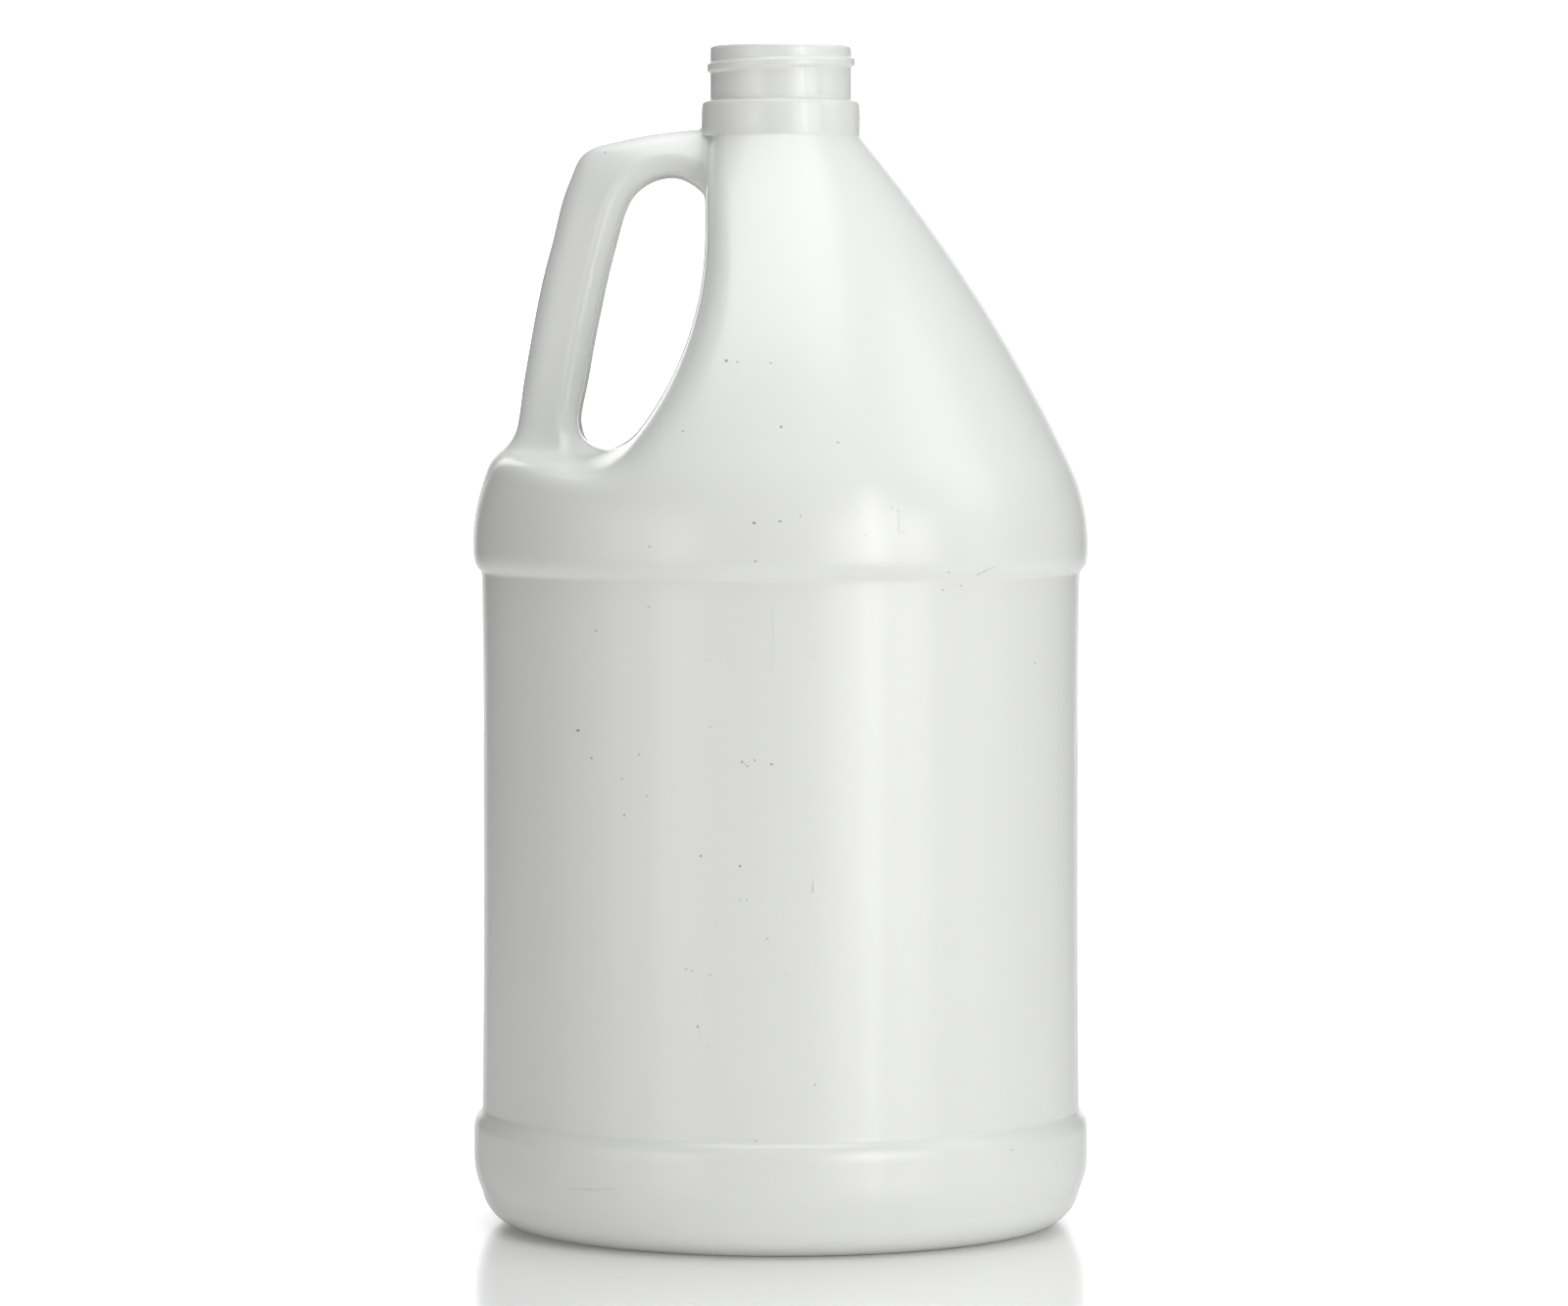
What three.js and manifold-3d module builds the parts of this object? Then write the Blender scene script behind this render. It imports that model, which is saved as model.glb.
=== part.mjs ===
import * as THREE from 'three';
import { mergeVertices } from 'three/addons/utils/BufferGeometryUtils.js';
import Module from 'manifold-3d';

// Round one-gallon plastic jug, blow moulded in one piece with a hollow handle.
// Millimetres, +Z up. The origin is the centre of the base, on the ground, and
// the handle is on the -X side. The mould parts on the plane y = 0.

// Body
const WALL = 1.0;
const CONTACT_RADIUS = 61.3;
const CORNER_RADIUS = 10.3;
const CORNER_CENTRE_RADIUS = 65.8;
const PUSH_UP = 5.1;
const HEEL_RADIUS = 50.0;
const HEEL_HEIGHT = 4.2;
const CORNER_LEAN = 0.14;
const ROLL_RADIUS = 78.0;
const PANEL_RADIUS = 75.9;
const PANEL_WAIST_RADIUS = 75.4;
const LOWER_ROLL_BOTTOM = 17.2;
const LOWER_ROLL_TOP = 22.6;
const LOWER_ROLL_EASE = 4.0;
const STEP_EASE = 3.0;
const PANEL_BOTTOM = 29.4;
const PANEL_TOP = 164.1;
const UPPER_ROLL_BOTTOM = 170.6;
const SHOULDER_BOTTOM = 171.6;
const SHOULDER_ARC_RADIUS = 51.5;
const SHOULDER_ARC_ANGLE = THREE.MathUtils.degToRad(25.3);

// Neck
const COLLAR_BOTTOM = 275.7;
const COLLAR_TOP = 284.5;
const COLLAR_RADIUS = 20.0;
const COLLAR_BULGE = 0.3;
const COLLAR_ROUNDING = 1.0;
const NECK_RADIUS = 17.9;
const RIM_TOP = 298.4;
const RIM_ROUNDING = 0.9;
const BORE_RADIUS = 16.0;
const BORE_TAPER = 3.0;
const CUT_PAST = 5.0;
const THREAD_CREST_RADIUS = 18.8;
const THREAD_HEIGHT = 3.1;
const THREAD_CREST_HEIGHT = 1.5;
const THREAD_LEAD = 3.4;
const THREAD_FRONT_HEIGHT = 293.6;
const THREAD_START = THREE.MathUtils.degToRad(160);
const THREAD_END = THREE.MathUtils.degToRad(500);
const THREAD_STEPS = 34;
const THREAD_FADE = 0.1;
const THREAD_FADED_RADIUS = 17.8;
const THREAD_ROOT_RADIUS = 17.3;

// Pocket that the hand reaches through, between the handle and the body
const POCKET_WALL_X = -19.2;
const POCKET_ARC_HEIGHT = 251.2;
const POCKET_ARC_RADIUS = 82.4;
const POCKET_ARC_ANGLE = THREE.MathUtils.degToRad(39.8);
const POCKET_FLOOR = 195.3;
const POCKET_FILLET = 5.1;
const POCKET_FAR_X = -95.0;
const POCKET_WALL_DRAFT = 0.0004;
const POCKET_FLOOR_DRAFT = 0.0016;
const POCKET_WALL_FILLET = 5.0;
const POCKET_FLOOR_FILLET = 2.0;
const POCKET_EDGE_GRAZE = 0.3;
const POCKET_LEAD_OUT = 6.0;
const POCKET_REACH = 100.0;

// Handle, lofted between its outer edge and its inner edge, as seen from the
// front: each point is [x, z], from the root in the pocket's floor, up the
// grip and round the bend, to the root under the collar.
const HANDLE_OUTER_EDGE = [
  [-69.7, 188.4], [-66.8, 202.6], [-63.9, 220.8], [-60.0, 240.8], [-55.0, 260.5],
  [-51.1, 270.5], [-43.6, 274.0], [-31.4, 276.2], [-14.2, 277.8],
];
const HANDLE_INNER_EDGE = [
  [-44.1, 188.4], [-50.6, 204.1], [-48.2, 217.8], [-44.5, 236.5], [-40.1, 252.2],
  [-36.1, 260.7], [-29.9, 264.6], [-24.3, 264.0], [-14.2, 255.3],
];
const HANDLE_DEPTH = 21.2;
const HANDLE_LOWER_ROOT_FLARE = 16.0;
const HANDLE_UPPER_ROOT_FLARE = 4.0;
const HANDLE_ROOT_SHARE = 0.14;
const HANDLE_STEPS = 22;

// Front half of the handle's section: shares of its width, from the outer edge
// to the inner edge, and of its half depth. A ridge runs up it, nearer the hole.
const HANDLE_SECTION = [
  [0, 0], [0.03, 0.26], [0.12, 0.46], [0.4, 0.75], [0.66, 0.97], [0.74, 0.97], [0.95, 0.63], [1, 0.48],
];

// Facets
const LATHE_SEGMENTS = 48;
const OUTER_DIVISIONS = 3;
const INNER_DIVISIONS = 2;
const POCKET_STEPS = 20;
const POCKET_FILLET_STEPS = 3;
const FOOT_HALVINGS = 24;
const MERGE_DISTANCE = 1e-4;

const wasm = await Module();
wasm.setup();

// The surface of revolution, from the axis under the base to the collar.
function bodyPath() {
  const path = new THREE.Path();
  path.moveTo(0, PUSH_UP);
  path.lineTo(HEEL_RADIUS, HEEL_HEIGHT);
  const heelMiddle = (HEEL_RADIUS + CONTACT_RADIUS) / 2;
  path.bezierCurveTo(heelMiddle, HEEL_HEIGHT, heelMiddle, 0, CONTACT_RADIUS, 0);
  path.lineTo(CORNER_CENTRE_RADIUS, 0);
  path.absarc(CORNER_CENTRE_RADIUS, CORNER_RADIUS, CORNER_RADIUS, -Math.PI / 2, -CORNER_LEAN);
  path.quadraticCurveTo(ROLL_RADIUS, LOWER_ROLL_BOTTOM - LOWER_ROLL_EASE, ROLL_RADIUS, LOWER_ROLL_BOTTOM);
  path.lineTo(ROLL_RADIUS, LOWER_ROLL_TOP);
  path.bezierCurveTo(
    ROLL_RADIUS, LOWER_ROLL_TOP + STEP_EASE,
    PANEL_RADIUS, PANEL_BOTTOM - STEP_EASE, PANEL_RADIUS, PANEL_BOTTOM);
  path.quadraticCurveTo(
    2 * PANEL_WAIST_RADIUS - PANEL_RADIUS, (PANEL_BOTTOM + PANEL_TOP) / 2, PANEL_RADIUS, PANEL_TOP);
  path.bezierCurveTo(
    PANEL_RADIUS, PANEL_TOP + STEP_EASE,
    ROLL_RADIUS, UPPER_ROLL_BOTTOM - STEP_EASE, ROLL_RADIUS, UPPER_ROLL_BOTTOM);
  path.lineTo(ROLL_RADIUS, SHOULDER_BOTTOM);
  path.absarc(
    ROLL_RADIUS - SHOULDER_ARC_RADIUS, SHOULDER_BOTTOM, SHOULDER_ARC_RADIUS, 0, SHOULDER_ARC_ANGLE);
  addTangentArc(path, SHOULDER_ARC_ANGLE, new THREE.Vector2(COLLAR_RADIUS, COLLAR_BOTTOM));
  return path;
}

// Continues a path by the one arc that leaves it with the given normal angle
// and passes through the end point.
function addTangentArc(path, normalAngle, end) {
  const start = path.currentPoint.clone();
  const inward = new THREE.Vector2(-Math.cos(normalAngle), -Math.sin(normalAngle));
  const chord = end.clone().sub(start);
  const radius = chord.lengthSq() / (2 * chord.dot(inward));
  const centre = start.clone().addScaledVector(inward, radius);
  path.absarc(centre.x, centre.y, radius, normalAngle, end.clone().sub(centre).angle());
}

// Outside of the neck: collar, threaded neck and rounded rim, closed on the axis.
function addNeck(path) {
  path.quadraticCurveTo(
    COLLAR_RADIUS + COLLAR_BULGE, (COLLAR_BOTTOM + COLLAR_TOP) / 2,
    COLLAR_RADIUS, COLLAR_TOP - COLLAR_ROUNDING);
  path.quadraticCurveTo(COLLAR_RADIUS, COLLAR_TOP, COLLAR_RADIUS - COLLAR_ROUNDING, COLLAR_TOP);
  path.lineTo(NECK_RADIUS, COLLAR_TOP);
  path.lineTo(NECK_RADIUS, RIM_TOP - RIM_ROUNDING);
  path.absarc(NECK_RADIUS - RIM_ROUNDING, RIM_TOP - RIM_ROUNDING, RIM_ROUNDING, 0, Math.PI / 2);
  path.lineTo(0, RIM_TOP);
}

// The same points moved inwards, square to the outline, by a distance.
function insetPoints(points, distance) {
  return points.map((point, i) => {
    const before = points[Math.max(i - 1, 0)];
    const after = points[Math.min(i + 1, points.length - 1)];
    const along = after.clone().sub(before).normalize();
    const moved = new THREE.Vector2(point.x - along.y * distance, point.y + along.x * distance);
    return i === 0 ? new THREE.Vector2(0, point.y + distance) : moved;
  });
}

const bodyOutline = bodyPath().getPoints(OUTER_DIVISIONS);

// The stretch of the body's outline, above its lower roll, that spans a height.
function outlineStretch(height) {
  const roll = bodyOutline.findIndex((point) => point.y >= LOWER_ROLL_BOTTOM);
  const above = bodyOutline.findIndex((point, i) => i > roll && point.y >= height);
  const end = above < 0 ? bodyOutline.length - 1 : above;
  return [bodyOutline[end - 1], bodyOutline[end]];
}

// Radius of the body's surface of revolution at a height.
function bodyRadius(height) {
  const [low, high] = outlineStretch(height);
  return THREE.MathUtils.mapLinear(height, low.y, high.y, low.x, high.x);
}

// How far that surface faces upwards at a height, in radians.
function bodySlope(height) {
  const [low, high] = outlineStretch(height);
  return Math.atan2(low.x - high.x, high.y - low.y);
}

function outerBody() {
  const path = bodyPath();
  addNeck(path);
  return lathe(path.getPoints(OUTER_DIVISIONS));
}

// The space inside the body, which the bore carries on out through the rim.
function innerBody() {
  const points = insetPoints(bodyPath().getPoints(INNER_DIVISIONS), WALL);
  points.push(new THREE.Vector2(BORE_RADIUS, COLLAR_BOTTOM + BORE_TAPER));
  points.push(new THREE.Vector2(BORE_RADIUS, RIM_TOP + CUT_PAST));
  points.push(new THREE.Vector2(0, RIM_TOP + CUT_PAST));
  return lathe(points);
}

function lathe(points) {
  const geometry = new THREE.LatheGeometry(points, LATHE_SEGMENTS);
  geometry.rotateX(Math.PI / 2);
  return toSolid(geometry);
}

// A closed solid through rings of equally many points, with a fan at each end.
function loft(rings) {
  const count = rings[0].length;
  const positions = [];
  const triangles = [];
  rings.flat().forEach((point) => positions.push(point.x, point.y, point.z));
  for (let i = 0; i < rings.length - 1; i += 1) {
    for (let j = 0; j < count; j += 1) {
      const a = i * count + j;
      const b = i * count + (j + 1) % count;
      triangles.push(a, b, b + count, a, b + count, a + count);
    }
  }
  for (const last of [false, true]) {
    const first = last ? rings.length - 1 : 0;
    const ring = rings[first];
    const centre = ring.reduce((sum, point) => sum.add(point), new THREE.Vector3());
    centre.divideScalar(count);
    const hub = positions.length / 3;
    positions.push(centre.x, centre.y, centre.z);
    for (let j = 0; j < count; j += 1) {
      const a = first * count + j;
      const b = first * count + (j + 1) % count;
      triangles.push(...(last ? [hub, a, b] : [hub, b, a]));
    }
  }
  const geometry = new THREE.BufferGeometry();
  geometry.setAttribute('position', new THREE.Float32BufferAttribute(positions, 3));
  geometry.setIndex(triangles);
  return toSolid(geometry);
}

// A geometry as a solid, with shared vertices merged and its faces turned out.
function toSolid(geometry) {
  geometry.deleteAttribute('normal');
  geometry.deleteAttribute('uv');
  const merged = mergeVertices(geometry, MERGE_DISTANCE);
  const vertices = merged.attributes.position.array;
  const corner = (index) => new THREE.Vector3().fromArray(vertices, 3 * index);
  const triangles = [];
  let volume = 0;
  for (let i = 0; i < merged.index.count; i += 3) {
    const [a, b, c] = merged.index.array.slice(i, i + 3);
    if (a !== b && b !== c && c !== a) {
      triangles.push(a, b, c);
      volume += corner(a).dot(corner(b).cross(corner(c)));
    }
  }
  if (volume < 0) {
    triangles.reverse();
  }
  return new wasm.Manifold(new wasm.Mesh({
    numProp: 3,
    vertProperties: new Float32Array(vertices),
    triVerts: new Uint32Array(triangles),
  }));
}

// What the mould's two halves press in beside the handle. Its wall and floor
// recede from the parting plane, and it widens where it leaves the body.
function pocket(grow) {
  const edge = new THREE.Path();
  edge.moveTo(POCKET_WALL_X, COLLAR_BOTTOM + grow);
  edge.lineTo(POCKET_WALL_X, POCKET_ARC_HEIGHT);
  edge.absarc(
    POCKET_WALL_X - POCKET_ARC_RADIUS, POCKET_ARC_HEIGHT, POCKET_ARC_RADIUS, 0, -POCKET_ARC_ANGLE, true);
  const turn = edge.currentPoint;
  const kneeX = turn.x - (turn.y - POCKET_FLOOR) * Math.tan(POCKET_ARC_ANGLE);
  edge.quadraticCurveTo(kneeX, POCKET_FLOOR, kneeX - POCKET_FILLET, POCKET_FLOOR);
  edge.lineTo(POCKET_FAR_X, POCKET_FLOOR);
  const points = edge.getSpacedPoints(POCKET_STEPS);
  const columns = points.map((point, i) => pocketColumn(point, points, i, grow));
  const rings = columns[0].map((_, row) => columns.map((column) => column[row]));
  rings.forEach((ring) => {
    ring.push(new THREE.Vector3(POCKET_FAR_X, ring.at(-1).y, COLLAR_BOTTOM + grow));
  });
  return loft(rings);
}

// The pocket's surface at one point of its edge, from the back to the front. It
// recedes by the draft, turns along a fillet that touches the body's round
// outside, and then leads straight out past the body.
function pocketColumn(point, points, i, grow) {
  const before = points[Math.max(i - 1, 0)];
  const after = points[Math.min(i + 1, points.length - 1)];
  const along = after.clone().sub(before).normalize();
  const upright = Math.abs(along.y);
  const place = (y, recess) => new THREE.Vector3(
    point.x - along.y * recess, y, point.y + along.x * recess);
  const fillet = THREE.MathUtils.lerp(POCKET_FLOOR_FILLET, POCKET_WALL_FILLET, upright);
  const curve = THREE.MathUtils.lerp(POCKET_FLOOR_DRAFT, POCKET_WALL_DRAFT, upright);
  const { hubY, turn } = filletFoot(place, along, fillet, curve);
  const draft = curve * hubY ** 2;
  const half = [0, 1 / 3, 2 / 3].map((share) => [hubY * share, draft * share ** 2]);
  for (let step = 0; step <= POCKET_FILLET_STEPS; step += 1) {
    const angle = turn * step / POCKET_FILLET_STEPS;
    half.push([hubY + fillet * Math.sin(angle), draft + fillet * (1 - Math.cos(angle))]);
  }
  const [lastY, lastRecess] = half.at(-1);
  const outRecess = lastRecess - POCKET_LEAD_OUT * upright * Math.cos(turn);
  half.push([lastY + POCKET_LEAD_OUT * Math.sin(turn), outRecess], [POCKET_REACH, outRecess]);
  const back = half.slice(1).reverse().map(([y, recess]) => [-y, recess]);
  return [...back, ...half].map(([y, recess]) => place(y, grow + recess));
}

// Where a fillet starts, and how far it turns, so that its end meets the body's
// outside along the surface. Past the body the fillet starts at the middle.
function filletFoot(place, along, fillet, curve) {
  let low = 1;
  let high = ROLL_RADIUS;
  let turn = 0;
  for (let halving = 0; halving < FOOT_HALVINGS; halving += 1) {
    const hubY = (low + high) / 2;
    const hub = place(hubY, curve * hubY ** 2 + fillet);
    const level = Math.hypot(hub.x, hub.y);
    const slope = bodySlope(hub.z);
    const facing = along.y * hub.x / level * Math.cos(slope) - along.x * Math.sin(slope);
    turn = Math.acos(THREE.MathUtils.clamp(facing, 0, 1));
    const recess = curve * hubY ** 2 + fillet * (1 - Math.cos(turn));
    const end = place(hubY + fillet * Math.sin(turn), recess);
    if (Math.hypot(end.x, end.y) > bodyRadius(end.z) + POCKET_EDGE_GRAZE) {
      high = hubY;
    } else {
      low = hubY;
    }
  }
  return { hubY: low, turn };
}

// The handle's section at a share t of its length, as a ring of points.
function handleRing(t, inset, outerEdge, innerEdge) {
  const outer = outerEdge.getPoint(t);
  const inner = innerEdge.getPoint(t);
  const across = outer.clone().sub(inner);
  const halfWidth = across.length() / 2 - inset;
  across.normalize();
  const centre = outer.clone().add(inner).multiplyScalar(0.5);
  const lowerRoot = HANDLE_LOWER_ROOT_FLARE * Math.max(1 - t / HANDLE_ROOT_SHARE, 0) ** 2;
  const upperRoot = HANDLE_UPPER_ROOT_FLARE * Math.max(1 - (1 - t) / HANDLE_ROOT_SHARE, 0) ** 2;
  const halfDepth = (HANDLE_DEPTH + lowerRoot + upperRoot) / 2 - inset;
  const front = HANDLE_SECTION.map(([share, depth]) => {
    const place = centre.clone().addScaledVector(across, (1 - 2 * share) * halfWidth);
    return new THREE.Vector3(place.x, -depth * halfDepth, place.y);
  });
  const back = front.slice(1).reverse().map(({ x, y, z }) => new THREE.Vector3(x, -y, z));
  return [...back, ...front];
}

function handle(inset) {
  const toCurve = (edge) => new THREE.SplineCurve(edge.map(([x, z]) => new THREE.Vector2(x, z)));
  const outerEdge = toCurve(HANDLE_OUTER_EDGE);
  const innerEdge = toCurve(HANDLE_INNER_EDGE);
  const rings = Array.from(
    { length: HANDLE_STEPS + 1 }, (_, i) => handleRing(i / HANDLE_STEPS, inset, outerEdge, innerEdge));
  return loft(rings);
}

// One right-hand turn of thread round the neck, fading out at both ends.
function thread() {
  const rings = Array.from({ length: THREAD_STEPS + 1 }, (_, i) => {
    const share = i / THREAD_STEPS;
    const angle = THREE.MathUtils.lerp(THREAD_START, THREAD_END, share);
    const rise = Math.min(1, share / THREAD_FADE, (1 - share) / THREAD_FADE);
    const crestRadius = THREE.MathUtils.lerp(THREAD_FADED_RADIUS, THREAD_CREST_RADIUS, rise);
    const turnsFromFront = angle / (2 * Math.PI) - 0.75;
    const middle = THREAD_FRONT_HEIGHT + THREAD_LEAD * turnsFromFront;
    const section = [
      [THREAD_ROOT_RADIUS, -THREAD_HEIGHT / 2], [crestRadius, -THREAD_CREST_HEIGHT / 2],
      [crestRadius, THREAD_CREST_HEIGHT / 2], [THREAD_ROOT_RADIUS, THREAD_HEIGHT / 2],
    ];
    return section.map(([radius, offset]) => new THREE.Vector3(
      radius * Math.cos(angle), radius * Math.sin(angle), middle + offset));
  });
  return loft(rings);
}

// The jug: its outside, less the space inside it, open at the rim.
function jug() {
  const outside = outerBody().subtract(pocket(0)).add(handle(0)).add(thread());
  const inside = innerBody().subtract(pocket(WALL)).add(handle(WALL));
  const mesh = outside.subtract(inside).getMesh();
  const geometry = new THREE.BufferGeometry();
  geometry.setAttribute('position', new THREE.Float32BufferAttribute(mesh.vertProperties, 3));
  geometry.setIndex(Array.from(mesh.triVerts));
  geometry.computeVertexNormals();
  const plastic = new THREE.MeshStandardMaterial({ color: 0xe9eae6, roughness: 0.42, metalness: 0 });
  const piece = new THREE.Mesh(geometry, plastic);
  piece.name = 'jug';
  return piece;
}

const group = new THREE.Group();
group.add(jug());

export default group;
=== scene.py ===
import math

import bpy
import numpy as np
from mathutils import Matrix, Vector


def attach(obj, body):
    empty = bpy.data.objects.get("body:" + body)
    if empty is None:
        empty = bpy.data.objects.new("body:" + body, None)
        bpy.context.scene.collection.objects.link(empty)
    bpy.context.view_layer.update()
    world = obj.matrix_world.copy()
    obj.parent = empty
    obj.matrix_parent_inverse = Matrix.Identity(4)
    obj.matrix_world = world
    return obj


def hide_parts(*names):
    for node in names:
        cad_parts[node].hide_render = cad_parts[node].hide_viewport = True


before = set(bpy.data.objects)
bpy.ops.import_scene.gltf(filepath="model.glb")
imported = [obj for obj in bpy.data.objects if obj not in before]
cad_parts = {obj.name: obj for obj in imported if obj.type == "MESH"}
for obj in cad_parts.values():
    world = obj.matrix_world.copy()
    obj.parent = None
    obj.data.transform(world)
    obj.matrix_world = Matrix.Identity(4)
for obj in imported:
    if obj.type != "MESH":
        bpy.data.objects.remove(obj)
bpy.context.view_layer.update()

# The looks of a one-gallon plastic jug. Its lengths are millimetres, and the meshes
# are made in metres. The stage, lights and camera are in metres.

MM = 0.001

# Body of revolution
WALL = 1.0
CONTACT_RADIUS = 61.3
CORNER_RADIUS = 10.3
CORNER_CENTRE_RADIUS = 65.8
CORNER_LEAN = 0.14
PUSH_UP = 5.1
HEEL_RADIUS = 50.0
HEEL_HEIGHT = 4.2
ROLL_RADIUS = 78.0
PANEL_RADIUS = 75.9
PANEL_WAIST_RADIUS = 75.4
LOWER_ROLL_BOTTOM = 17.2
LOWER_ROLL_TOP = 23.9
LOWER_ROLL_EASE = 4.0
STEP_RISE = 1.8
PANEL_BOTTOM = 28.9
PANEL_TOP = 165.6
UPPER_ROLL_BOTTOM = 170.6
SHOULDER_BOTTOM = 171.6
SHOULDER_ARC_RADIUS = 51.5
SHOULDER_ARC_ANGLE = math.radians(25.3)
COLLAR_BOTTOM = 275.7
COLLAR_TOP = 284.5
COLLAR_RADIUS = 20.0
COLLAR_BULGE = 0.3
COLLAR_ROUNDING = 1.3
NECK_RADIUS = 17.9
NECK_FILLET = 0.5
RIM_TOP = 298.4
RIM_ROUNDING = 0.9

# Bore and the space inside
BORE_RADIUS = 16.0
BORE_BOTTOM = 291.0
BORE_CLEARANCE = 0.05
BORE_EDGE = 0.8
CAVITY_BLEND = 1.0
CAVITY_TOP = 293.0
CAVITY_TAPER_TOP = 279.0
CAVITY_TAPER = 1.2

# Thread
THREAD_HEIGHT = 2.9
THREAD_CREST_HEIGHT = 1.5
THREAD_RISE = 0.95
THREAD_LEAD = 3.4
THREAD_FRONT_HEIGHT = 293.6
THREAD_FRONT_TURN = 0.75
THREAD_START = math.radians(160)
THREAD_END = math.radians(500)
THREAD_FADE = math.radians(34)

# Pocket beside the handle
POCKET_WALL_X = -19.2
POCKET_ARC_HEIGHT = 251.2
POCKET_ARC_RADIUS = 82.4
POCKET_FLOOR = 195.3
POCKET_CORNER = 7.0
POCKET_WALL_DRAFT = 0.0004
POCKET_FLOOR_DRAFT = 0.0016
POCKET_WALL_BLEND = 7.5
POCKET_FLOOR_BLEND = 3.5
POCKET_TOP_BLEND = 5.5
POCKET_TOP_SPAN = (225.0, 265.0)
POCKET_FLOOR_TO_WALL = (-6.0, 10.0)

# Handle, seen from the front, [x, z]
HANDLE_OUTER_EDGE = [
    (-72.5, 176.0), (-70.3, 186.0), (-68.3, 196.2), (-67.0, 201.1), (-65.5, 211.0), (-63.9, 221.0),
    (-62.1, 230.9), (-60.0, 240.8), (-57.4, 250.7), (-54.9, 260.6), (-52.6, 266.6), (-51.0, 270.0),
    (-48.6, 272.2), (-44.8, 273.6), (-41.6, 274.3), (-34.4, 275.8), (-27.4, 276.8), (-19.2, 277.5),
    (-5.0, 278.3),
]
HOLE_LEFT_EDGE = [
    (-32.0, 183.0), (-38.5, 188.5), (-44.0, 193.0), (-47.6, 196.6), (-49.9, 200.6), (-50.4, 205.0),
    (-49.3, 211.0), (-47.4, 221.5), (-45.3, 232.0), (-43.1, 242.0), (-41.0, 250.0), (-39.2, 256.2),
    (-37.3, 260.0), (-34.4, 262.8), (-31.2, 264.4), (-28.2, 265.0), (-25.0, 264.6), (-22.4, 263.3),
    (-18.5, 259.9), (-12.0, 252.5),
]
GRIP_CLOSING_POINTS = [(0.0, 240.0), (0.0, 170.0), (-60.0, 165.0)]
HOLE_CLOSING_POINTS = [(0.0, 240.0), (0.0, 185.0)]
HOLE_CORNER = 1.0
HANDLE_REACH = 5.0
HANDLE_HALF_DEPTH = 10.6
HANDLE_RIDGE_INSET = 5.0
HANDLE_FRONT_SLOPE = 0.6
HANDLE_BEVEL_SLOPE = 0.55
HANDLE_RIDGE_ROUNDING = 1.2
HANDLE_OUTER_ROUNDING = 4.0
HANDLE_INNER_ROUNDING = 1.2
HANDLE_OUTER_CURVE = 0.010
LOWER_ROOT_FLARE = 7.0
LOWER_ROOT_DROP = 4.0
LOWER_ROOT_SPAN = 26.0
ROOT_BLEND = 8.0
TOP_ROOT_BLEND = 0.7
TOP_ROOT_HEIGHT = 235.0
TOP_ROOT_SPAN = 20.0

# Trimmed edge of plastic left round the hole where the mould closed
FLASH_WIDTH = 0.8
WALL_FLASH_WIDTH = 0.4
FLASH_HALF_THICKNESS = 0.4
FLASH_ROOT = 3.0
FLASH_EDGE = 0.3
FLASH_BLEND = 0.4

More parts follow.
